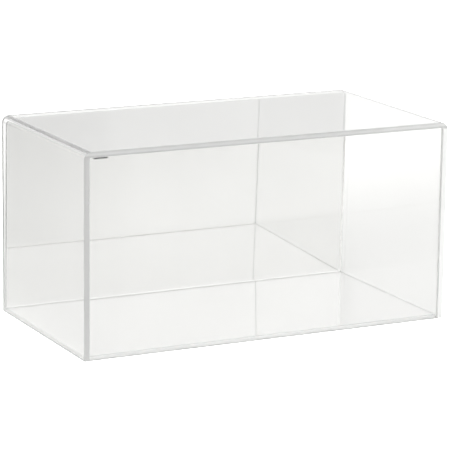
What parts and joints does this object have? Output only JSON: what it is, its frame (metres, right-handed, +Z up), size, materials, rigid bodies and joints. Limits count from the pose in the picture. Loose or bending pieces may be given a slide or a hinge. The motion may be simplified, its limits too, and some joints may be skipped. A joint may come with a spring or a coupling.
{
  "type": "football display case",
  "caption": "Clear box that shows a football: a cover of one bent sheet with a front window lifts off a flat base that carries a mirrored back.",
  "frame": {"origin": "centre of the footprint, on the surface the case stands on", "axes": "+Z up, -Y towards the front window, +X to the right seen from the front"},
  "size_m": [0.352, 0.184, 0.18],
  "materials": {
    "clear_sheet": "clear, polished faces, scraped edges",
    "mirror_front": "clear, polished faces, sawn edges",
    "mirror_film": "silvered towards the front, grey paint behind"
  },
  "bodies": {
    "base_unit": {"base_panel": "clear_sheet", "mirror_sheet": "mirror_front", "mirror_backing": "mirror_film"},
    "cover": {"cover_sheet": "clear_sheet", "front_panel": "clear_sheet"}
  },
  "joints": [
    {"name": "cover_lift", "type": "slide", "parent": "base_unit", "child": "cover", "axis": [0, 0, 1], "range_m": [0, 0.2]}
  ]
}
